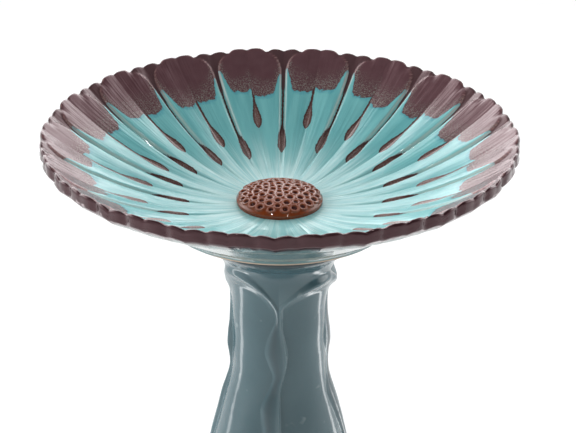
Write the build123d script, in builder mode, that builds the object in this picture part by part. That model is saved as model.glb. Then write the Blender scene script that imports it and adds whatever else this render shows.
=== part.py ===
from build123d import *
from math import cos, pi, sin, sqrt
import os

# Ceramic bird bath: a daisy-shaped glazed bowl that sits loose on a hollow pedestal, with a rubber
# cushion ring between the two and a seed-head disc luted to the middle of the bowl.
# Millimetres, +Z up, the origin under the middle of the pedestal's foot, the front towards -Y.

# Driving dimensions
TOTAL_HEIGHT = 530.0  # ground to the top of the rim
BOWL_RADIUS = 225.0
BASIN_DEPTH = 74.4  # rim to the valleys between the petals, at the centre
BASIN_POWER = 2.71  # the basin falls as depth * (1 - (r / R) ** power)
PETAL_RISE = 2.0  # petal faces above the valleys
PETAL_COUNT = 18
VALLEY_TURN = 1.0  # degrees from straight back to the nearest valley
LOBE_RADIUS = 65.0  # plan radius of one lobe of the rim
LIP_WIDTH = 2.5

FOOT_RADIUS = 110.5
FOOT_BOTTOM = TOTAL_HEIGHT - 86.0
SPIGOT_RADIUS = 52.0  # locating ring under the bowl, loose inside the pedestal's mouth
SPIGOT_INNER_RADIUS = 45.0
SPIGOT_BOTTOM = FOOT_BOTTOM - 14.0
RECESS_CEILING = FOOT_BOTTOM + 5.5  # underside of the bowl inside the spigot

SEED_RADIUS = 41.4
SEED_SEAT_CLEARANCE = 0.2
SEED_EDGE = 3.5
SEED_CROWN = 10.5
CUP_COUNT = 58
CUP_SPACING = 4.75
CUP_RADIUS = 3.7
CUP_HOLE_RADIUS = 2.2
CUP_RISE = 1.0
CUP_DEPTH = 3.5

CUSHION_THICKNESS = 6.0
CUSHION_OUTER_RADIUS = 68.0
CUSHION_INNER_RADIUS = 56.0

PEDESTAL_TOP = FOOT_BOTTOM - CUSHION_THICKNESS
PEDESTAL_TOP_RADIUS = 70.0
SHOULDER_RADIUS = 78.0  # widest part of the capital
SHOULDER_HEIGHT = PEDESTAL_TOP - 13.0
MOUTH_RADIUS = 54.0
MOUTH_DEPTH = 11.0
BASE_RADIUS = 119.0
BASE_INNER_RADIUS = 106.0
RIB_COUNT = 4
PANEL_TURN = -45.0  # degrees from +X to the first panel's centre
PANEL_DEPTH = 4.0

GOLDEN_ANGLE = pi * (3.0 - sqrt(5.0))


def basin_height(radius):
    """Height of the valley surface inside the bowl."""
    return TOTAL_HEIGHT - BASIN_DEPTH * (1.0 - (radius / BOWL_RADIUS) ** BASIN_POWER)


def petal_height(radius):
    """Height of the petal faces."""
    return basin_height(radius) + PETAL_RISE


def dome_height(radius):
    """Height of the seed head's plain dome above its own base."""
    return SEED_EDGE + SEED_CROWN * sqrt(1.0 - (radius / SEED_RADIUS) ** 2)


# Dish: one revolved section, with its rounded lip, steep outer wall, flat foot and spigot.
seat_radius = SEED_RADIUS + SEED_SEAT_CLEARANCE
seat_height = TOTAL_HEIGHT - BASIN_DEPTH
lip_radius = BOWL_RADIUS - LIP_WIDTH
basin_radii = [seat_radius, 75.0, 110.0, 145.0, 180.0, 205.0, lip_radius]
with BuildPart() as bowl:
    with BuildSketch(Plane.XZ):
        with BuildLine():
            Polyline((0, RECESS_CEILING), (0, seat_height), (seat_radius, seat_height),
                     (seat_radius, petal_height(seat_radius)))
            Spline(*[(r, petal_height(r)) for r in basin_radii[:-1]], (lip_radius, TOTAL_HEIGHT))
            ThreePointArc((lip_radius, TOTAL_HEIGHT), (BOWL_RADIUS, TOTAL_HEIGHT - 4.0),
                          (BOWL_RADIUS - 1.2, TOTAL_HEIGHT - 10.5))
            Spline((BOWL_RADIUS - 1.2, TOTAL_HEIGHT - 10.5), (215, TOTAL_HEIGHT - 20.0),
                   (195, TOTAL_HEIGHT - 31.0), (161, TOTAL_HEIGHT - 50.0),
                   (131, TOTAL_HEIGHT - 70.0), (FOOT_RADIUS - 2.5, FOOT_BOTTOM + 3.5))
            Polyline((FOOT_RADIUS - 2.5, FOOT_BOTTOM + 3.5), (FOOT_RADIUS, FOOT_BOTTOM + 1.5),
                     (FOOT_RADIUS, FOOT_BOTTOM), (SPIGOT_RADIUS, FOOT_BOTTOM),
                     (SPIGOT_RADIUS, SPIGOT_BOTTOM), (SPIGOT_INNER_RADIUS, SPIGOT_BOTTOM),
                     (SPIGOT_INNER_RADIUS, RECESS_CEILING), (0, RECESS_CEILING))
        make_face()
    revolve(axis=Axis.Z)
    # The rim's plan outline: one shallow lobe for each front petal and each back petal.
    with BuildSketch(Plane.XY.offset(SPIGOT_BOTTOM)):
        Circle(BOWL_RADIUS - 0.8 * LOBE_RADIUS)
        with PolarLocations(BOWL_RADIUS - LOBE_RADIUS, 2 * PETAL_COUNT, start_angle=90 - VALLEY_TURN):
            Circle(LOBE_RADIUS)
    extrude(amount=TOTAL_HEIGHT - SPIGOT_BOTTOM, mode=Mode.INTERSECT)

# Valleys: plan outline of one valley, which opens at the rim into the back petal behind it,
# and a fine midrib each side of it, cut only as deep as the valley surface.
valley_outline = [(85, 0), (120, 1.2), (180, 1.8), (198, 3.2), (212, 8.0), (232, 13.5)]
midrib_outline = [(120, 0), (150, 1.0), (190, 1.2), (232, 1.6)]
with BuildPart() as valleys:
    with BuildSketch(Plane.XY.offset(seat_height)):
        with PolarLocations(0, PETAL_COUNT, start_angle=90 - VALLEY_TURN):
            Polygon(*valley_outline, *[(x, -y) for x, y in reversed(valley_outline[1:])], align=None)
        with PolarLocations(0, PETAL_COUNT, start_angle=90 - VALLEY_TURN + 180 / PETAL_COUNT):
            Polygon(*midrib_outline, *[(x, -y) for x, y in reversed(midrib_outline[1:])], align=None)
    extrude(amount=BASIN_DEPTH + PETAL_RISE)
    with BuildSketch(Plane.XZ):
        with BuildLine():
            Spline(*[(r, basin_height(r)) for r in [75.0, 110.0, 145.0, 180.0, 205.0, 235.0]])
            Polyline((235.0, basin_height(235.0)), (235.0, seat_height - 5.0),
                     (75.0, seat_height - 5.0), (75.0, basin_height(75.0)))
        make_face()
    revolve(axis=Axis.Z, mode=Mode.SUBTRACT)

with bowl:
    add(valleys.part, mode=Mode.SUBTRACT)
bowl.part.label = "bowl"

# Seed head: a low dome covered with raised cups, in the spiral order of a real seed head.
cup_places = []
for index in range(1, CUP_COUNT + 1):
    distance = CUP_SPACING * sqrt(index - 0.5)
    turn = index * GOLDEN_ANGLE
    cup_places.append((distance * cos(turn), distance * sin(turn), distance))

with BuildPart() as seed_head:
    with BuildSketch(Plane.XZ):
        with BuildLine():
            Polyline((0, seat_height + SEED_EDGE + SEED_CROWN), (0, seat_height),
                     (SEED_RADIUS, seat_height), (SEED_RADIUS, seat_height + SEED_EDGE))
            EllipticalCenterArc((0, seat_height + SEED_EDGE), SEED_RADIUS, SEED_CROWN,
                                start_angle=0, arc_size=90)
        make_face()
    revolve(axis=Axis.Z)
    for x, y, distance in cup_places:
        with Locations((x, y, seat_height)):
            Cylinder(CUP_RADIUS, dome_height(distance) + CUP_RISE,
                     align=(Align.CENTER, Align.CENTER, Align.MIN))
    for x, y, distance in cup_places:
        with Locations((x, y, seat_height + dome_height(distance) + CUP_RISE - CUP_DEPTH)):
            Cylinder(CUP_HOLE_RADIUS, CUP_DEPTH + 2.0, mode=Mode.SUBTRACT,
                     align=(Align.CENTER, Align.CENTER, Align.MIN))
seed_head.part.label = "seed_head"

# Cushion ring: a flat rubber washer on the pedestal's top face.
with BuildPart() as cushion_ring:
    with BuildSketch(Plane.XY.offset(PEDESTAL_TOP)):
        Circle(CUSHION_OUTER_RADIUS)
        Circle(CUSHION_INNER_RADIUS, mode=Mode.SUBTRACT)
    extrude(amount=CUSHION_THICKNESS)
    fillet(cushion_ring.edges().filter_by(GeomType.CIRCLE), 0.8)
cushion_ring.part.label = "cushion_ring"

# Pedestal: the ribs' profile from the flared capital, through the waist, to the spread foot.
rib_profile = [(SHOULDER_RADIUS, SHOULDER_HEIGHT), (75.5, 421.5), (67.5, 415), (60, 408), (54.5, 398),
               (52, 384), (50.5, 368), (49, 350), (51.5, 308), (50, 284), (55, 256), (61, 233),
               (74.5, 170), (89.5, 95), (99, 60), (114, 24), (BASE_RADIUS, 10)]
mouth_bottom = PEDESTAL_TOP - MOUTH_DEPTH
hollow_profile = [(MOUTH_RADIUS, mouth_bottom), (49, 416), (44, 402), (40, 387), (38.5, 370), (38, 345),
                  (38.5, 310), (39.5, 288), (44, 262), (52, 233), (63, 175), (81, 90),
                  (BASE_INNER_RADIUS, 8)]

# A panel between two ribs: half-widths and heights from its arched top to its round bottom.
# The two waists are where the ribs beside it swell into a leaf shape.
panel_edge = [(0, 384), (15, 381), (26, 372), (30.5, 358), (30, 342), (26, 314), (30, 289), (31, 261),
              (37, 230), (42.5, 200), (45.5, 165), (46, 130), (39, 88), (22, 66), (0, 60)]
panel_outline = panel_edge + [(-x, z) for x, z in reversed(panel_edge[1:-1])]
with BuildPart() as panel:
    with BuildSketch(Plane.YZ):
        with BuildLine():
            Spline(*panel_outline, periodic=True)
        make_face()
    extrude(amount=BASE_RADIUS)
    with BuildSketch(Plane.XZ):
        with BuildLine():
            Spline(*[(r - PANEL_DEPTH, z) for r, z in rib_profile])
            Polyline((BASE_RADIUS - PANEL_DEPTH, 10), (0, 10), (0, SHOULDER_HEIGHT),
                     (SHOULDER_RADIUS - PANEL_DEPTH, SHOULDER_HEIGHT))
        make_face()
    revolve(axis=Axis.Z, mode=Mode.SUBTRACT)

with BuildPart() as pedestal:
    with BuildSketch(Plane.XZ):
        with BuildLine():
            Spline(*rib_profile)
            Polyline((BASE_RADIUS, 10), (BASE_RADIUS, 3), (BASE_RADIUS - 3, 0),
                     (BASE_INNER_RADIUS, 0), (BASE_INNER_RADIUS, 8))
            Spline(*hollow_profile)
            Polyline((MOUTH_RADIUS, mouth_bottom), (MOUTH_RADIUS, PEDESTAL_TOP),
                     (PEDESTAL_TOP_RADIUS, PEDESTAL_TOP), (SHOULDER_RADIUS - 5, PEDESTAL_TOP - 3),
                     (SHOULDER_RADIUS - 1, PEDESTAL_TOP - 9), (SHOULDER_RADIUS, SHOULDER_HEIGHT))
        make_face()
    revolve(axis=Axis.Z)
    with PolarLocations(0, RIB_COUNT, start_angle=PANEL_TURN):
        add(panel.part, mode=Mode.SUBTRACT)
pedestal.part.label = "pedestal"

os.makedirs("parts", exist_ok=True)
export_step(bowl.part, "parts/bowl.step")
export_step(seed_head.part, "parts/seed_head.step")
export_step(cushion_ring.part, "parts/cushion_ring.step")
export_step(pedestal.part, "parts/pedestal.step")
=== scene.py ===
import math

import bpy
import numpy as np
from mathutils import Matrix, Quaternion, Vector


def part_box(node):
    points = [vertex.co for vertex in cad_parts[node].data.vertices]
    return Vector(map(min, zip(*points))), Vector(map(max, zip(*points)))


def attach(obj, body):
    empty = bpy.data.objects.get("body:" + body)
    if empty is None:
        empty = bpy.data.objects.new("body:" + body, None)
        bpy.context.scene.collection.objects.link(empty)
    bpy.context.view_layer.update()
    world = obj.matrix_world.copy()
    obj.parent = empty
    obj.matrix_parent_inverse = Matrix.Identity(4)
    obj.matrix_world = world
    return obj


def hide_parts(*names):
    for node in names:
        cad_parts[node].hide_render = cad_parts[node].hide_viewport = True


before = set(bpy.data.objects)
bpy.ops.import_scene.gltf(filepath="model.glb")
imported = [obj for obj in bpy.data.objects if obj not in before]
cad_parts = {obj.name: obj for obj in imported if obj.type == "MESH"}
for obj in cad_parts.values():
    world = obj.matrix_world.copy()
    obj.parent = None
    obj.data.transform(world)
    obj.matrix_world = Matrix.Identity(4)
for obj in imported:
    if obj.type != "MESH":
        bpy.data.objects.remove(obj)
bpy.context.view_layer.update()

rng = np.random.default_rng(7)
MM = 0.001

# ---------------------------------------------------------------- sizes, in millimetres
bowl_low, bowl_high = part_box("bowl")
seed_low, seed_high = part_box("seed_head")
cushion_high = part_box("cushion_ring")[1]

RIM = bowl_high.z / MM
RADIUS = bowl_high.x / MM
SPIGOT_DROP = RIM - bowl_low.z / MM
FOOT_FACE = cushion_high.z / MM
SEED_RADIUS = seed_high.x / MM
SEED_SEAT = seed_low.z / MM

BASIN_DEPTH = RIM - SEED_SEAT
BASIN_POWER = 2.71

PETALS = 18
SECTOR = 360.0 / PETALS
HALF = SECTOR / 2.0
VALLEY_TURN = 1.0  # degrees from straight back to the nearest valley
TIP_EDGE = 5.3  # degrees from a midrib to where the front petal's tip meets the back petal


# ---------------------------------------------------------------- small helpers
def smooth(low, high, x):
    """Smooth step from 0 at low to 1 at high."""
    t = np.clip((np.asarray(x, float) - low) / (high - low), 0.0, 1.0)
    return t * t * (3.0 - 2.0 * t)


def bell(x, width):
    return np.exp(-(x / width) ** 2)


def wrap(angle, period):
    """Angle from the nearest multiple of period."""
    return (angle + period / 2.0) % period - period / 2.0


def cubic(x, points):
    """Smooth curve through points of x and y, by Catmull-Rom slopes."""
    xs, ys = (np.array(column, float) for column in zip(*points))
    slopes = np.gradient(ys, xs)
    k = np.clip(np.searchsorted(xs, x) - 1, 0, len(xs) - 2)
    h = xs[k + 1] - xs[k]
    t = np.clip((x - xs[k]) / h, 0.0, 1.0)
    start, end = ys[k], ys[k + 1]
    return ((2 * t ** 3 - 3 * t ** 2 + 1) * start + (t ** 3 - 2 * t ** 2 + t) * slopes[k] * h
            + (-2 * t ** 3 + 3 * t ** 2) * end + (t ** 3 - t ** 2) * slopes[k + 1] * h)


def waves(x, y, count, scale, seed):
    """Smooth unit-height ripples from a few sine waves in random directions."""
    draw = np.random.default_rng(seed)
    total = np.zeros(np.broadcast(x, y).shape)
    for _ in range(count):
        turn = draw.uniform(0.0, math.tau)
        pitch = scale * draw.uniform(0.7, 1.5)
        phase = draw.uniform(0.0, math.tau)
        total += np.sin((x * math.cos(turn) + y * math.sin(turn)) * math.tau / pitch + phase)
    return total / math.sqrt(count)


def ring_mesh(name, x, y, z, cap_start=False, cap_end=False, loop=False):
    """A smooth mesh from rings of points: x, y and z are rows of equal length, in millimetres."""
    rows, columns = z.shape
    points = np.stack([x, y, z], -1).reshape(-1, 3) * MM
    j = np.arange(columns)
    j_next = (j + 1) % columns
    quads = []
    row_pairs = [(i, i + 1) for i in range(rows - 1)]
    if loop:
        row_pairs.append((rows - 1, 0))
    for i, i_next in row_pairs:
        quads.append(np.stack([i * columns + j, i * columns + j_next,
                               i_next * columns + j_next, i_next * columns + j], -1))
    faces = np.concatenate(quads).tolist()
    vertices = points.tolist()
    for wanted, row, flip in ((cap_start, 0, False), (cap_end, rows - 1, True)):
        if wanted:
            centre = len(vertices)
            vertices.append([0.0, 0.0, float(points[row * columns:(row + 1) * columns, 2].mean())])
            for k in range(columns):
                a = row * columns + k
                b = row * columns + (k + 1) % columns
                faces.append([centre, a, b] if flip else [centre, b, a])
    mesh = bpy.data.meshes.new(name)
    mesh.from_pydata(vertices, [], faces)
    mesh.validate()
    mesh.polygons.foreach_set("use_smooth", [True] * len(mesh.polygons))
    mesh.update()
    piece = bpy.data.objects.new(name, mesh)
    bpy.context.scene.collection.objects.link(piece)
    return piece


def set_field(piece, name, values, fill=0.0):
    """Stores one number for each vertex, for the material to read."""
    data = np.full(len(piece.data.vertices), fill, np.float32)
    flat = np.asarray(values, np.float32).reshape(-1)
    data[:len(flat)] = flat
    layer = piece.data.attributes.new(name, "FLOAT", "POINT")
    layer.data.foreach_set("value", data)


# ---------------------------------------------------------------- shader helpers
class Shader:
    """One node material, built a call at a time."""

    def __init__(self, name):
        self.material = bpy.data.materials.new(name)
        self.material.use_nodes = True
        self.tree = self.material.node_tree
        self.surface = self.tree.nodes["Principled BSDF"]
        self.coords = self.tree.nodes.new("ShaderNodeTexCoord").outputs["Object"]

    def put(self, socket, value):
        if isinstance(value, bpy.types.NodeSocket):
            self.tree.links.new(value, socket)
        elif isinstance(value, tuple) and len(value) == 3 and len(socket.default_value) == 4:
            socket.default_value = (*value, 1.0)
        else:
            socket.default_value = value

    def field(self, name):
        node = self.tree.nodes.new("ShaderNodeAttribute")
        node.attribute_name = name
        return node.outputs["Fac"]

    def math(self, operation, a, b=0.0, clamp=False):
        node = self.tree.nodes.new("ShaderNodeMath")
        node.operation = operation
        node.use_clamp = clamp
        self.put(node.inputs[0], a)
        self.put(node.inputs[1], b)
        return node.outputs[0]

    def step(self, low, high, value):
        """Smooth step from 0 at low to 1 at high."""
        node = self.tree.nodes.new("ShaderNodeMapRange")
        node.interpolation_type = "SMOOTHSTEP"
        self.put(node.inputs["Value"], value)
        self.put(node.inputs["From Min"], low)
        self.put(node.inputs["From Max"], high)
        return node.outputs["Result"]

    def mix(self, factor, a, b):
        node = self.tree.nodes.new("ShaderNodeMix")
        node.data_type = "RGBA"
        self.put(node.inputs[0], factor)
        self.put(node.inputs[6], a)
        self.put(node.inputs[7], b)
        return node.outputs[2]

    def noise(self, scale, detail=2.0, roughness=0.5, distortion=0.0):
        node = self.tree.nodes.new("ShaderNodeTexNoise")
        self.put(node.inputs["Vector"], self.coords)
        self.put(node.inputs["Scale"], scale)
        self.put(node.inputs["Detail"], detail)
        self.put(node.inputs["Roughness"], roughness)
        self.put(node.inputs["Distortion"], distortion)
        return node.outputs["Fac"]

    def streaks(self, scale, along, detail=3.0):
        """Noise drawn out along the radius, from the direction and share fields."""
        join = self.tree.nodes.new("ShaderNodeCombineXYZ")
        self.put(join.inputs[0], self.math("MULTIPLY", self.field("to_right"), scale))
        self.put(join.inputs[1], self.math("MULTIPLY", self.field("to_back"), scale))
        self.put(join.inputs[2], self.math("MULTIPLY", self.field("share"), along))
        node = self.tree.nodes.new("ShaderNodeTexNoise")
        self.put(node.inputs["Vector"], join.outputs[0])
        self.put(node.inputs["Scale"], 1.0)
        self.put(node.inputs["Detail"], detail)
        return node.outputs["Fac"]

    def bump(self, height, distance, strength=1.0):
        node = self.tree.nodes.new("ShaderNodeBump")
        self.put(node.inputs["Height"], height)
        self.put(node.inputs["Distance"], distance)
        self.put(node.inputs["Strength"], strength)
        self.put(self.surface.inputs["Normal"], node.outputs["Normal"])

    def finish(self, color, roughness, ior=1.55):
        self.put(self.surface.inputs["Base Color"], color)
        self.put(self.surface.inputs["Roughness"], roughness)
        self.put(self.surface.inputs["IOR"], ior)
        return self.material


def srgb(red, green, blue):
    """Linear colour from display values out of 255."""
    return tuple(((v / 255.0 + 0.055) / 1.055) ** 2.4 if v > 10 else v / 255.0 / 12.92
                 for v in (red, green, blue))


# ---------------------------------------------------------------- bowl
# Angles in degrees, clockwise from straight back, seen from above.
# One sector runs from valley to valley, with its midrib in the middle. Points are closer
# together beside the valley and the midrib, where the relief is sharp.
half_steps = 20
even = np.arange(half_steps) / half_steps
packed = HALF * (even - 0.5 / math.tau * np.sin(math.tau * even))
sector = np.concatenate([packed, packed + HALF])
theta = np.concatenate([VALLEY_TURN + SECTOR * k + sector for k in range(PETALS)])
petal_index = np.repeat(np.arange(PETALS), 2 * half_steps)
turn = np.radians(theta)
from_valley = wrap(theta - VALLEY_TURN, SECTOR)
from_midrib = wrap(theta - VALLEY_TURN - HALF, SECTOR)

# How far in each drip of brown glaze runs, as a share of the bowl's radius. Petal 0 lies just
# clockwise of the valley that points straight back. The visible ones follow the real bowl.
midrib_ends = [0.60, 0.565, 0.56, 0.63, 0.57, 0.58, 0.55, 0.60, 0.56,
               0.58, 0.61, 0.56, 0.57, 0.53, 0.51, 0.55, 0.51, 0.60]
valley_ends = [0.44, 0.455, 0.44, 0.46, 0.44, 0.43, 0.44, 0.46, 0.42,
               0.44, 0.43, 0.45, 0.42, 0.38, 0.415, 0.415, 0.40, 0.405]
lobe_ends = 0.785 + 0.028 * rng.uniform(-1.0, 1.0, 2 * PETALS)

inner_rows = np.concatenate([
    np.linspace(SEED_RADIUS * 0.96 / RADIUS, 0.36, 16),
    np.linspace(0.36, 0.75, 31)[1:],
    np.linspace(0.75, 0.99, 33)[1:],
])


def basin_height(share):
    return RIM - BASIN_DEPTH * (1.0 - share ** BASIN_POWER)


def petal_half_width(share):
    """Half the front petal's width in degrees: straight sides, then a rounded tip."""
    t = np.clip((share - 0.86) / 0.142, 0.0, 1.0)
    return 9.4 * np.sqrt(1.0 - t ** 3.0)


def relief(share):
    """Height of the petals above the valley surface, the front-petal mask and its edge ridge."""
    share = share[:, None]
    radius = share * RADIUS
    side = np.abs(from_midrib)[None, :]
    back = np.abs(from_valley)[None, :]
    half_width = petal_half_width(share)
    edge = np.radians(half_width - side) * radius  # mm inside the petal's edge
    inward = np.clip(edge / 2.7, 0.0, 1.0)
    shoulder = np.sqrt(1.0 - (1.0 - inward) ** 2)
    # Each half of a petal is a soft pillow that rises steeply from the midrib groove.
    across = np.clip(side / half_width, 0.0, 1.0)
    fade = smooth(0.20, 0.72, share)
    rim_ease = 1.0 - 0.55 * smooth(0.70, 0.97, share)
    pillow = 3.4 * fade * rim_ease * (1.0 - (1.0 - across) ** 2.4 - 0.22 * across ** 4)
    body = (0.12 + 1.68 * fade) + pillow
    back_side = np.clip(back / 5.6, 0.0, 1.0)
    back_pillow = 1.9 * smooth(0.84, 0.95, share) * (1.0 - (1.0 - back_side) ** 2.2)
    height = back_pillow * (1.0 - shoulder) + body * shoulder
    front = smooth(-0.9, 0.9, edge)
    ridge = bell(edge - 0.9, 0.75)
    return height, front, ridge


def rim_pull():
    """How far the scalloped outline lies inside the full radius, in millimetres."""
    front_tip = 0.1 + 0.5 * bell(from_midrib, 1.2) + 2.4 * (np.abs(from_midrib) / 5.4) ** 3
    back_tip = 0.4 + 0.5 * bell(from_valley, 1.2) + 1.9 * (np.abs(from_valley) / 4.6) ** 2
    return np.minimum(front_tip, back_tip)


height, front_mask, ridge_thin_glaze_and_highlight = relief(inner_rows)
pull = rim_pull()
share_in = inner_rows[:, None] + 0.0 * theta[None, :]
radius_in = share_in * RADIUS - pull * smooth(0.88, 1.0, share_in)
plain_x = radius_in * np.sin(turn)
plain_y = radius_in * np.cos(turn)
z_in = basin_height(share_in) - 0.7 * smooth(0.85, 0.99, share_in) + height
# the dips in the rim's crest: deep beside each front petal's tip, shallow at valleys and midribs
notch = (2.9 * bell(np.abs(from_midrib) - TIP_EDGE, 1.1) + 0.9 * bell(from_valley, 0.9)
         + 0.7 * bell(from_midrib, 1.0))
z_in = np.minimum(z_in, RIM - 0.15) - notch * smooth(0.93, 0.99, share_in)
z_in = z_in + 0.12 * waves(plain_x, plain_y, 7, 26.0, 3) * smooth(0.2, 0.4, share_in)
z_in = np.minimum(z_in, RIM - 0.1)

# Lip and outer wall: offsets from the rim's crest, then the outer profile down to the foot.
crest = z_in[-1]
crest_radius = radius_in[-1]
lip_offsets = [(0.9, -0.3), (1.6, -1.2), (1.95, -2.6), (2.0, -4.6), (1.7, -7.0)]
outer_shape = [(9.5, 225.2), (13.0, 222.8), (20.0, 215.0), (43.2, 173.0), (70.0, 130.5), (80.0, 115.2),
               (84.4, 110.5)]
outer_profile = [(float(cubic(down, outer_shape)), -down) for down in np.linspace(10.5, 84.4, 36)]
foot_drop = RIM - FOOT_FACE
foot_profile = [(110.5, -84.7), (110.5, -85.0), (110.4, -85.6), (110.0, -foot_drop),
                (100.0, -foot_drop), (84.0, -foot_drop), (52.6, -foot_drop), (52.0, -foot_drop - 0.6),
                (52.0, 0.7 - SPIGOT_DROP), (51.3, -SPIGOT_DROP), (45.7, -SPIGOT_DROP),
                (45.0, 0.7 - SPIGOT_DROP), (45.0, -81.0), (44.4, -80.5), (20.0, -80.5)]
full = np.ones_like(theta)
outer_radius = []
outer_z = []
crease = 1.7 * bell(np.abs(from_midrib) - TIP_EDGE, 1.0)
for out, down in lip_offsets:
    outer_radius.append(crest_radius + out - crease * float(smooth(0.5, -3.0, down)))
    outer_z.append(crest + down)
lip_level = crest - RIM
for radius, down in outer_profile:
    fade = float(smooth(-60.0, -8.0, down))
    outer_radius.append(radius * full - (pull - 0.5) * fade - crease * float(smooth(-24.0, -10.0, down)))
    outer_z.append(RIM + down + lip_level * 0.75 * float(smooth(-34.0, -8.0, down)))
for radius, down in foot_profile:
    outer_radius.append(radius * full)
    outer_z.append(RIM + down * full)
outer_radius = np.array(outer_radius)
outer_z = np.array(outer_z)
radius_all = np.concatenate([radius_in, outer_radius])
z_all = np.concatenate([z_in, outer_z])
x_all = radius_all * np.sin(turn)
y_all = radius_all * np.cos(turn)
outer_rows = len(outer_radius)
bowl = ring_mesh("bowl_glazed", x_all, y_all, z_all, cap_start=True, cap_end=True)

# Fields for the glaze, all worked out from the petal layout.
arc_mid = np.radians(np.abs(from_midrib))[None, :] * share_in * RADIUS
arc_valley = np.radians(np.abs(from_valley))[None, :] * share_in * RADIUS
half_index = 2 * petal_index + (from_midrib >= 0.0)
side_deg = np.abs(from_midrib)[None, :]
lobe_edge = (lobe_ends[half_index][None, :] + 0.020 * bell(side_deg, 1.3)
             + 0.010 * bell(side_deg - 7.2, 1.0)
             + 0.115 * smooth(6.9, 9.2, side_deg) ** 0.8)


def drip_width(share, end, start, neck, bulb, bulb_length):
    """Half-width of a drip in mm: a thin run that ends in a rounded drop."""
    run = share - end
    round_end = np.sqrt(np.clip(run / 0.035, 0.0, 1.0))
    body = neck + (bulb - neck) * (1.0 - smooth(bulb_length * 0.35, bulb_length, run))
    return np.where(run > 0.0, body * round_end, -2.0)


mid_end = np.array(midrib_ends)[petal_index]
valley_number = (np.round((theta - VALLEY_TURN) / SECTOR) % PETALS).astype(int)
valley_end = np.array(valley_ends)[valley_number]
mid_width = drip_width(share_in, mid_end[None, :], 0.85, 1.3, 4.3, 0.16)
valley_width = drip_width(share_in, valley_end[None, :], 0.9, 1.0, 4.2, 0.20)


def bowl_field(name, inner, outer):
    rows = np.full((outer_rows, len(theta)), float(outer))
    set_field(bowl, name, np.concatenate([inner + 0.0 * share_in, rows]), outer)


bowl_field("share", share_in, 1.0)
for name, direction in (("to_right", np.sin(turn)), ("to_back", np.cos(turn))):
    set_field(bowl, name, np.tile(direction, (len(radius_all), 1)))
bowl_field("over_lobe", (share_in - lobe_edge) * RADIUS, 40.0)
bowl_field("mid_drip", mid_width - arc_mid, -20.0)
bowl_field("valley_drip", valley_width - arc_valley, -20.0)
bowl_field("front", front_mask, 0.0)
bowl_field("edge", ridge_thin_glaze_and_highlight, 0.0)
outer_drop = RIM - outer_z.mean(axis=1)
outer_drop[-len(foot_profile) + 3:] = foot_drop
drop = np.concatenate([np.zeros_like(share_in), np.repeat(outer_drop[:, None], len(theta), 1)])
set_field(bowl, "drop", drop, foot_drop)
outside = np.concatenate([np.zeros_like(share_in), np.ones_like(outer_z)])
set_field(bowl, "outside", outside, 1.0)


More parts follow.
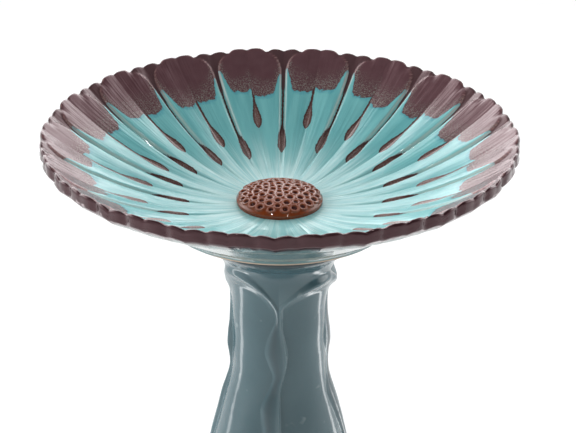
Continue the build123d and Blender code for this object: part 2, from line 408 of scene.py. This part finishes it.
def bowl_glaze():
    s = Shader("bowl_glaze")
    share = s.field("share")
    ragged = s.math("MULTIPLY", s.math("SUBTRACT", s.noise(180.0, 3.0, 0.6), 0.5), 9.0)
    fine = s.noise(780.0, 3.0, 0.7)
    coarse = s.noise(420.0, 2.0, 0.5)

    lobe = s.math("ADD", s.field("over_lobe"), ragged)
    small = s.math("MULTIPLY", s.math("SUBTRACT", coarse, 0.5), 1.6)
    mid_drip = s.math("ADD", s.field("mid_drip"), small)
    valley_drip = s.math("ADD", s.field("valley_drip"), small)
    drip = s.math("MAXIMUM", mid_drip, valley_drip)
    front = s.field("front")
    back_petal = s.math("MULTIPLY", s.step(0.5, 0.3, front), s.step(0.80, 0.83, share))

    # Aqua: paler towards the middle, and whitish on the petals' edge ridges, from thinner glaze there plus a
    # painted highlight
    streak = s.streaks(16.0, 3.0)
    aqua = s.mix(s.step(0.35, 0.65, streak), srgb(112, 188, 192), srgb(130, 204, 206))
    pale = s.mix(s.step(0.40, 0.60, s.streaks(24.0, 2.0)), srgb(156, 217, 219), srgb(184, 232, 232))
    inward = s.math("ADD", share, s.math("MULTIPLY", s.math("SUBTRACT", streak, 0.5), 0.35))
    aqua = s.mix(s.step(0.62, 0.26, inward), aqua, pale)
    # painted highlight, with thinner glaze, along each front petal's edge ridge
    edge = s.math("MULTIPLY", s.field("edge"), s.step(0.35, 0.7, share))
    aqua = s.mix(s.math("MULTIPLY", edge, 0.7), aqua, srgb(214, 222, 214))
    shadow_line = s.math("MULTIPLY", s.step(-5.0, -0.6, lobe), s.step(0.62, 0.70, share))
    aqua = s.mix(s.math("MULTIPLY", shadow_line, 0.45), aqua, srgb(62, 156, 176))

    # Brown, with a speckled band where it thins out over the aqua
    brown = s.mix(s.noise(90.0, 3.0), srgb(92, 62, 67), srgb(108, 77, 82))
    speck = s.mix(s.step(0.48, 0.60, fine), brown, srgb(150, 146, 138))
    reach = s.math("ADD", lobe, s.math("MULTIPLY", s.math("SUBTRACT", s.noise(35.0, 2.0), 0.5), 26.0))
    band = s.math("MULTIPLY", s.step(26.0, 3.0, reach), s.step(0.0, 1.5, lobe))
    brown_tip = s.mix(s.math("MULTIPLY", band, 0.8), brown, speck)
    inside_drip = s.step(1.0, 2.4, drip)
    drip_core = s.mix(s.step(0.45, 0.62, fine), srgb(118, 84, 82), srgb(150, 136, 128))
    drip_color = s.mix(s.math("MULTIPLY", inside_drip, 0.8), srgb(84, 54, 52), drip_core)

    color = s.mix(s.step(-0.35, 0.35, drip), aqua, drip_color)
    color = s.mix(s.step(-0.7, 0.7, lobe), color, brown_tip)
    color = s.mix(back_petal, color, srgb(88, 63, 66))
    # pinkish edge ridges in the brown: thinner glaze, plus a painted sheen
    thin_brown_and_sheen = s.math("MULTIPLY", s.field("edge"), s.step(0.80, 0.88, share))
    color = s.mix(s.math("MULTIPLY", thin_brown_and_sheen, 0.45), color, srgb(190, 146, 140))

    # Outside: brown rim band, teal wall, bare tan foot
    drop = s.field("drop")
    run = s.math("ADD", drop, s.math("MULTIPLY", s.math("SUBTRACT", s.noise(55.0, 4.0, 0.6), 0.5), 14.0))
    teal = s.mix(s.noise(40.0, 3.0), srgb(82, 112, 114), srgb(102, 130, 130))
    rim_band = s.step(20.5, 15.5, run)
    wall = s.mix(rim_band, teal, srgb(52, 28, 32))
    clay = s.mix(s.noise(500.0, 4.0), srgb(170, 148, 128), srgb(196, 178, 158))
    # the glaze stops short of the foot's edge at the front and the back, and covers it at the sides
    uncovered = s.step(0.80, 0.90, s.math("ABSOLUTE", s.field("to_back")))
    uncovered = s.math("MAXIMUM", uncovered, s.step(85.8, 85.95, drop))
    bare = s.math("MULTIPLY", s.step(84.5, 84.9, drop), uncovered)
    wall = s.mix(bare, wall, clay)
    color = s.mix(s.step(0.4, 0.6, s.field("outside")), color, wall)

    # Sheen: the brown tips are rougher, and brown glaze reflects reddish, inside and outside
    grainy = s.math("MULTIPLY", s.step(-1.0, 4.0, lobe), s.step(0.6, 0.4, s.field("outside")))
    rough = s.math("ADD", s.math("MULTIPLY", bare, 0.6), s.math("MULTIPLY", grainy, 0.13))
    rough = s.math("ADD", 0.09, rough)
    outer_band = s.math("MULTIPLY", rim_band, s.field("outside"))
    reddish = s.math("MAXIMUM", grainy, outer_band)
    s.put(s.surface.inputs["Specular Tint"], s.mix(reddish, (1.0, 0.94, 0.94), (1.0, 0.70, 0.74)))
    # Relief too fine for the mesh: a lumpy rim band, and streaks where glaze ran down the petals
    lumps = s.math("MULTIPLY", outer_band, s.math("MULTIPLY", s.noise(60.0, 1.0), 9.0))
    run_marks = s.math("MULTIPLY", s.math("SUBTRACT", 1.0, s.field("outside")), s.streaks(60.0, 3.0, 2.0))
    height = s.math("ADD", lumps, s.math("MULTIPLY", run_marks, 4.5))
    s.bump(s.math("ADD", height, s.noise(120.0, 2.0)), 0.0003, 0.4)
    return s.finish(color, rough)


bowl.data.materials.append(bowl_glaze())
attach(bowl, "dish")
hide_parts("bowl")


# ---------------------------------------------------------------- seed head
def packed_cups(count):
    """Cup centres and sizes: a spiral seed-head layout, pushed apart until the cups just touch."""
    draw = np.random.default_rng(11)
    number = np.arange(count) + 0.5
    golden = math.pi * (3.0 - math.sqrt(5.0))
    reach = SEED_RADIUS - 6.0
    distance = reach * np.sqrt(number / count)
    places = np.stack([distance * np.cos(number * golden), distance * np.sin(number * golden)], -1)
    sizes = draw.uniform(4.0, 5.8, count)
    for _ in range(200):
        gap = places[:, None, :] - places[None, :, :]
        far = np.linalg.norm(gap, axis=2) + np.eye(count) * 99.0
        want = (sizes[:, None] + sizes[None, :]) * 0.88
        push = np.clip(want - far, 0.0, None)[:, :, None] * gap / far[:, :, None]
        places = places + 0.25 * push.sum(axis=1)
        out = np.linalg.norm(places, axis=1)
        limit = SEED_RADIUS - 1.0 - sizes
        places *= np.minimum(1.0, limit / np.maximum(out, 0.01))[:, None]
    return places, sizes


SEED_EDGE = 3.5
SEED_CROWN = 10.5


def seed_head():
    across = np.sin(np.linspace(0.012, math.pi / 2.0, 96))
    turns = np.linspace(0.0, math.tau, 420, endpoint=False)
    radius = across[:, None] * SEED_RADIUS * np.ones_like(turns)
    x = radius * np.sin(turns)
    y = radius * np.cos(turns)
    dome = np.sqrt(np.clip(1.0 - across[:, None] ** 2, 0.0, 1.0))
    z = SEED_SEAT + SEED_EDGE + SEED_CROWN * dome + 0.0 * x
    normal = np.stack([x / SEED_RADIUS ** 2, y / SEED_RADIUS ** 2,
                       (z - SEED_SEAT - SEED_EDGE) / SEED_CROWN ** 2], -1)
    normal /= np.linalg.norm(normal, axis=2)[:, :, None]
    places, sizes = packed_cups(72)
    lift = np.full(z.shape, -0.4)
    depth = np.zeros(z.shape)
    rim = np.zeros(z.shape)
    for (cx, cy), size in zip(places, sizes):
        share = min(0.999, math.hypot(cx, cy) / SEED_RADIUS)
        cz = SEED_SEAT + SEED_EDGE + SEED_CROWN * math.sqrt(1.0 - share ** 2)
        far = np.sqrt((x - cx) ** 2 + (y - cy) ** 2 + (z - cz) ** 2) / size
        wall = 1.35 * smooth(1.05, 0.84, far)
        hole = -2.9 * smooth(0.56, 0.34, far) - 0.25 * smooth(0.78, 0.56, far)
        cup = -0.4 + wall + hole
        near = far < 1.05
        lift = np.where(near, np.where(far < 0.8, cup, np.maximum(lift, cup)), lift)
        depth = np.where(near, np.maximum(depth, smooth(0.56, 0.40, far)), depth)
        rim = np.maximum(rim, bell(far - 0.74, 0.20))
    keep = smooth(1.0, 0.985, across)[:, None]
    lift = lift * keep
    x = x + normal[:, :, 0] * lift
    y = y + normal[:, :, 1] * lift
    z = z + normal[:, :, 2] * lift
    side_z = np.array([SEED_EDGE - 0.9, 1.6, 0.6, 0.0])[:, None] + SEED_SEAT
    side_r = np.array([0.0, -0.1, -0.3, -0.8])[:, None] + SEED_RADIUS
    x = np.concatenate([x, side_r * np.sin(turns)])
    y = np.concatenate([y, side_r * np.cos(turns)])
    z = np.concatenate([z, side_z + 0.0 * turns])
    piece = ring_mesh("seed_head_glazed", x, y, z, cap_start=True, cap_end=True)
    set_field(piece, "hole", depth)
    set_field(piece, "rim", rim)
    return piece


def seed_glaze():
    s = Shader("seed_glaze")
    rim = s.field("rim")
    mottled = s.noise(300.0, 3.0)
    amber = s.mix(mottled, srgb(112, 42, 8), srgb(160, 70, 14))
    tan = s.mix(mottled, srgb(146, 84, 66), srgb(174, 108, 86))
    color = s.mix(s.step(0.35, 0.95, rim), amber, tan)
    color = s.mix(s.step(0.2, 0.8, s.field("hole")), color, srgb(80, 24, 12))
    return s.finish(color, 0.06, 1.6)


head = seed_head()
head.data.materials.append(seed_glaze())
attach(head, "dish")
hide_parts("seed_head")


# ---------------------------------------------------------------- pedestal
RIBS = 4
RIB_SECTOR = 360.0 / RIBS
RIB_CENTRE = 5.0  # degrees from the pattern's zero line to the front rib, to the right
PATTERN_TURN = 5.0  # degrees from the pattern's zero line to straight front
PANEL_SPAN = 41.0  # degrees from a panel's centre to its side
RADIANS_PER_DEGREE = math.pi / 180.0

# Radius against height: the ribs with the capital and foot, and the smooth panels between them
rib_profile = [(0, 116.5), (3, 118.6), (10, 118.8), (24, 114), (40, 107), (60, 99), (95, 89.5), (130, 82),
               (170, 74.5), (205, 67.5), (233, 60.8), (251, 56.2), (263, 52.6), (274, 49.8), (285, 48.9),
               (294, 49.6), (306, 51.1), (316, 50.6), (332, 48.6), (351, 47.8), (362, 48.3), (372, 50.0),
               (384, 51.6), (392, 52.8), (400, 55.2), (409, 60.7), (415, 67.0), (420.5, 74.2), (425, 78.0)]
panel_profile = [(0, 112), (60, 95.5), (95, 86), (130, 78.3), (170, 70.6), (205, 63.6), (233, 56.8),
                 (251, 52.3), (266, 48.8), (280, 46.6), (300, 45.8), (332, 45.6), (351, 45.9),
                 (368, 47.6), (384, 50.0), (400, 53.5), (425, 77.0)]
shoulder = [(60.0, 438.0), (69.0, 438.0), (70.6, 437.4), (73.2, 434.8), (75.6, 431.6), (77.2, 428.6),
            (77.9, 426.4)]
hollow = [(0, 107), (8, 106), (90, 81), (175, 63), (233, 52), (262, 44), (288, 39.5), (310, 38.5), (345, 38),
          (370, 38.5), (387, 40), (402, 44), (416, 49), (427, 54), (437.4, 54), (438, 54.6)]

# A rib's left edge, crest line and right edge: degrees from straight front, by height, for the
# front rib. It swells twice into a leaf shape, and its crest lies near its right edge.
rib_lines = [(60, -7, 5, 15), (90, -4, 5, 13), (130, -8, 6, 15), (170, -3, 5, 11), (200, -3, 5, 9),
             (230, -10, 4, 8), (261, -14, 5.2, 6.7), (273, -8, 6, 7), (289, -2.5, 10, 11.5),
             (303, -8, 12.5, 15), (315, -12.3, 12.2, 15.8), (328, -10, 9.8, 13), (342, -3.5, 7, 9.8),
             (352, 1, 6, 9.3), (367, 1, 5.5, 10), (392, 1, 5, 12)]
# The arch over each panel, going right from the front rib: height of its top, and its rise
arches = [(379.5, 18.0), (384.0, 26.0), (382.0, 22.0), (387.0, 32.0)]


def pedestal_surface(heights, front_angle):
    """Radius of the glazed outside by height and angle, and on the ribs the share of the way
    from the rib's left edge to its crest."""
    z = heights[:, None]
    rib = cubic(heights, rib_profile)[:, None]
    floor_radius = np.minimum(cubic(heights, panel_profile)[:, None], rib - 0.8)
    to_mm = RADIANS_PER_DEGREE * rib
    # angle from the nearest rib, written as if that rib were the front one
    local = wrap(front_angle - RIB_CENTRE, RIB_SECTOR)[None, :] + RIB_CENTRE
    left, crest_line, right = (cubic(heights, [(row[0], row[k]) for row in rib_lines])[:, None]
                               for k in (1, 2, 3))
    beyond = np.maximum(left - local, local - right) * to_mm
    # signed distance to each panel's arch and to its round bottom
    panel = wrap(front_angle - RIB_CENTRE - RIB_SECTOR / 2.0, RIB_SECTOR)[None, :]
    number = np.floor((front_angle - RIB_CENTRE) / RIB_SECTOR).astype(int) % RIBS
    top, rise = (np.array(column)[number][None, :] for column in zip(*arches))
    over = np.clip(z - (top - rise), 0.0, None)
    reach = np.hypot(panel / PANEL_SPAN, over / rise) + 1e-6
    steep = np.hypot(panel / PANEL_SPAN ** 2 / to_mm, over / rise ** 2) / reach + 1e-6
    above = (reach - 1.0) / steep
    under = np.hypot(panel / PANEL_SPAN, np.clip(100.0 - z, 0.0, None) / 40.0) - 1.0
    inside = np.minimum(beyond, np.where(over > 0.0, -above, 99.0))
    inside = np.minimum(inside, np.where(z < 100.0, -under * 40.0, 99.0))
    # each rib rises in a broad slope from its left edge to its crest, and drops off to the right
    rising = np.clip((local - left) / (crest_line - left), 0.0, 1.0)
    falling = np.clip((right - local) / np.maximum(right - crest_line, 1.5), 0.0, 1.0)
    leaf = np.where(local < crest_line, np.sin(rising * math.pi / 2.0) ** 0.9, smooth(0.0, 1.0, falling))
    plain = np.maximum(smooth(348.0, 374.0, z), smooth(80.0, 50.0, z))
    body = leaf * (1.0 - plain) + plain
    body = body * smooth(5.5, -2.0, inside)
    r = floor_radius + (rib - floor_radius) * body
    # a draped roll over each arch: full at the side ribs, thin where it runs into the front rib
    from_front = np.abs(wrap(front_angle - RIB_CENTRE, 180.0))[None, :]
    # and rather larger on the right than on the left
    width = 5.0 + 12.0 * smooth(4.0, 40.0, from_front)
    swing = np.clip(above / width, 0.0, 1.0)
    tilt = 1.0 + 0.45 * np.sin(np.radians(front_angle))[None, :]
    roll = (1.4 + 2.6 * smooth(4.0, 45.0, from_front)) * tilt * np.sin(math.pi * swing) ** 1.8
    at_side = smooth(4.0, 60.0, from_front)
    r = r + roll * smooth(0.0, 12.0, z - 340.0 - 22.0 * at_side)
    # a narrow neck above the knob on the right
    r = r - 3.2 * bell(z - 386.0, 6.0) * smooth(45.0, 80.0, wrap(front_angle, 360.0))[None, :]
    ripple = 0.22 * waves(front_angle[None, :] * 0.9, z, 7, 60.0, 5)
    r = r + ripple * smooth(20.0, 60.0, z) * smooth(424.0, 412.0, z)
    return r, rising * (inside < 0.0)


def pedestal():
    heights = np.concatenate([
        np.linspace(425.0, 400.0, 20),
        np.linspace(399.0, 335.0, 62),
        np.linspace(333.5, 250.0, 48),
        np.linspace(247.0, 60.0, 36),
        np.array([50.0, 40.0, 30.0, 20.0, 12.0, 6.0, 3.0, 1.0, 0.0]),
    ])
    turns = np.linspace(0.0, 360.0, 500, endpoint=False)
    ones = np.ones_like(turns)
    r, crest_field = pedestal_surface(heights, 180.0 - turns + PATTERN_TURN)
    shoulder_r, shoulder_z = zip(*shoulder)
    hollow_z, hollow_r = zip(*hollow)
    r = np.concatenate([np.outer(shoulder_r, ones), r, np.outer(hollow_r, ones)])
    z = np.concatenate([np.outer(shoulder_z, ones), np.outer(heights, ones), np.outer(hollow_z, ones)])
    bearing = np.radians(turns)
    piece = ring_mesh("pedestal_glazed", r * np.sin(bearing), r * np.cos(bearing), z, loop=True)
    rows = slice(len(shoulder), len(shoulder) + len(heights))
    crest_glaze_and_highlight = np.zeros_like(z)
    crest_glaze_and_highlight[rows] = bell(crest_field - 0.97, 0.12) * smooth(400.0, 360.0, heights)[:, None]
    set_field(piece, "ridge", crest_glaze_and_highlight)
    slope_painted_shade = np.zeros_like(z)
    slope_painted_shade[rows] = (bell(crest_field - 0.45, 0.3) * smooth(0.05, 0.3, crest_field)
                         * smooth(372.0, 340.0, heights)[:, None])
    set_field(piece, "slope", slope_painted_shade)
    return piece


def pedestal_glaze():
    s = Shader("pedestal_glaze")
    cloud = s.noise(18.0, 4.0, 0.6)
    color = s.mix(cloud, srgb(56, 82, 90), srgb(70, 97, 104))
    # rib crests lighter: thinner glaze, plus a painted highlight
    color = s.mix(s.math("MULTIPLY", s.field("ridge"), 0.30), color, srgb(120, 144, 150))
    # painted shade on each rib's broad rising slope
    color = s.mix(s.math("MULTIPLY", s.field("slope"), 0.55), color, srgb(38, 54, 60))
    spot = s.step(0.70, 0.78, s.noise(70.0, 1.0))
    color = s.mix(s.math("MULTIPLY", spot, 0.25), color, srgb(150, 166, 168))
    split = s.tree.nodes.new("ShaderNodeSeparateXYZ")
    s.put(split.inputs[0], s.coords)
    low = split.outputs["Z"]
    clay = s.mix(s.noise(500.0, 4.0), srgb(170, 148, 128), srgb(196, 178, 158))
    # painted shadow: the shoulder darkens under the bowl's foot, where the foot shades it
    color = s.mix(s.math("MULTIPLY", s.step(0.418, 0.427, low), 0.75), color, srgb(22, 32, 38))
    bare = s.step(0.0032, 0.0014, low)
    color = s.mix(bare, color, clay)
    s.bump(s.noise(90.0, 2.0), 0.0005, 0.4)
    return s.finish(color, s.math("ADD", 0.13, s.math("MULTIPLY", bare, 0.6)))


column = pedestal()
column.data.materials.append(pedestal_glaze())
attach(column, "stand")
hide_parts("pedestal")


# ---------------------------------------------------------------- cushion ring
def cushion_rubber():
    s = Shader("cushion_rubber")
    grain = s.noise(900.0, 3.0)
    color = s.mix(grain, (0.012, 0.012, 0.012), (0.028, 0.027, 0.026))
    s.bump(grain, 0.0003, 0.4)
    return s.finish(color, s.math("ADD", 0.6, s.math("MULTIPLY", grain, 0.25)), 1.5)


ring_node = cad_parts["cushion_ring"]
ring_node.data.materials.clear()
ring_node.data.materials.append(cushion_rubber())

# ---------------------------------------------------------------- stage, light and camera
WORLD_LIGHT = 3.0
BACKDROP_TOP = 0.84  # sine of the elevation where the white backdrop has faded out
FRONT_LIGHT = 0.22  # share of the backdrop's light that comes from the camera's side
CEILING_LIGHT = 0.04
FLOOR_REACH = 14.0
CAMERA_PLACE = (0.0, -1.6035, 1.2053)
CAMERA_AIM = (0.003655, 0.90260, -0.43048)
CAMERA_ROLL = math.radians(0.34)
CAMERA_LENS = 115.84
CAMERA_SHIFT = 0.003

floor_mesh = bpy.data.meshes.new("floor")
corners = [(-FLOOR_REACH, -FLOOR_REACH, 0.0), (FLOOR_REACH, -FLOOR_REACH, 0.0),
           (FLOOR_REACH, FLOOR_REACH, 0.0), (-FLOOR_REACH, FLOOR_REACH, 0.0)]
floor_mesh.from_pydata(corners, [], [(0, 1, 2, 3)])
floor = bpy.data.objects.new("floor", floor_mesh)
bpy.context.scene.collection.objects.link(floor)
paper = Shader("floor_paper")
floor_color = paper.mix(paper.noise(3.0, 2.0), (0.90, 0.90, 0.90), (0.93, 0.93, 0.93))
paper.surface.inputs["Emission Color"].default_value = (1.0, 1.0, 1.0, 1.0)
paper.surface.inputs["Emission Strength"].default_value = 0.2
floor.data.materials.append(paper.finish(floor_color, 0.9, 1.3))

world = bpy.data.worlds.new("studio")
bpy.context.scene.world = world
world.use_nodes = True
sky = Shader.__new__(Shader)
sky.tree = world.node_tree
toward = sky.tree.nodes.new("ShaderNodeSeparateXYZ")
sky.tree.links.new(sky.tree.nodes.new("ShaderNodeTexCoord").outputs["Generated"], toward.inputs[0])
backdrop_top = sky.step(BACKDROP_TOP, BACKDROP_TOP - 0.5, toward.outputs["Z"])
front = sky.math("MULTIPLY", FRONT_LIGHT, sky.step(0.7, -0.5, toward.outputs["X"]))
behind = sky.math("ADD", front, sky.step(-0.35, 0.25, toward.outputs["Y"]))
glow = sky.math("ADD", CEILING_LIGHT, sky.math("MULTIPLY", backdrop_top, behind))
background = sky.tree.nodes["Background"]
sky.tree.links.new(glow, background.inputs["Color"])
background.inputs["Strength"].default_value = WORLD_LIGHT


def lamp(name, place, size, power, aim=(0.0, 0.0, 0.4), seen=True):
    """A soft rectangular lamp; one that isn't seen gives light but no reflection of itself."""
    data = bpy.data.lights.new(name, "AREA")
    data.shape = "RECTANGLE"
    data.size, data.size_y = size
    data.energy = power
    light = bpy.data.objects.new(name, data)
    bpy.context.scene.collection.objects.link(light)
    light.location = place
    light.rotation_euler = (Vector(aim) - Vector(place)).to_track_quat("-Z", "Y").to_euler()
    light.visible_camera = False
    light.visible_glossy = seen
    return light


def floor_strip(name, distance, bearing, width, power):
    """A long lamp lying on the floor, facing up, its length pointing at the pedestal."""
    turn = math.radians(bearing)
    place = (distance * math.sin(turn), distance * math.cos(turn), 0.02)
    strip = lamp(name, place, (width, 0.80), power)
    strip.rotation_euler = (math.pi, 0.0, -turn)


lamp("lamp_left", (-0.55, -0.9, 2.6), (0.09, 0.06), 4.0)
lamp("lamp_right", (0.55, -0.9, 2.6), (0.09, 0.06), 4.0)
lamp("fill_left", (-1.7, -0.5, 0.7), (1.0, 1.0), 9.0, seen=False)
lamp("fill_right", (1.8, 0.4, 0.6), (1.0, 1.0), 5.0, seen=False)
floor_strip("strip_left", 0.62, -77.0, 0.09, 0.75)
floor_strip("strip_right", 0.63, 64.0, 0.075, 0.65)

camera_data = bpy.data.cameras.new("camera")
camera_data.sensor_width = 36.0
camera_data.lens = CAMERA_LENS
camera_data.shift_x = CAMERA_SHIFT
camera = bpy.data.objects.new("camera", camera_data)
bpy.context.scene.collection.objects.link(camera)
camera.location = CAMERA_PLACE
aim = Vector(CAMERA_AIM).to_track_quat("-Z", "Y")
camera.rotation_euler = (aim @ Quaternion((0.0, 0.0, 1.0), CAMERA_ROLL)).to_euler()
bpy.context.scene.camera = camera
bpy.context.scene.view_settings.view_transform = "Standard"

bpy.context.view_layer.update()
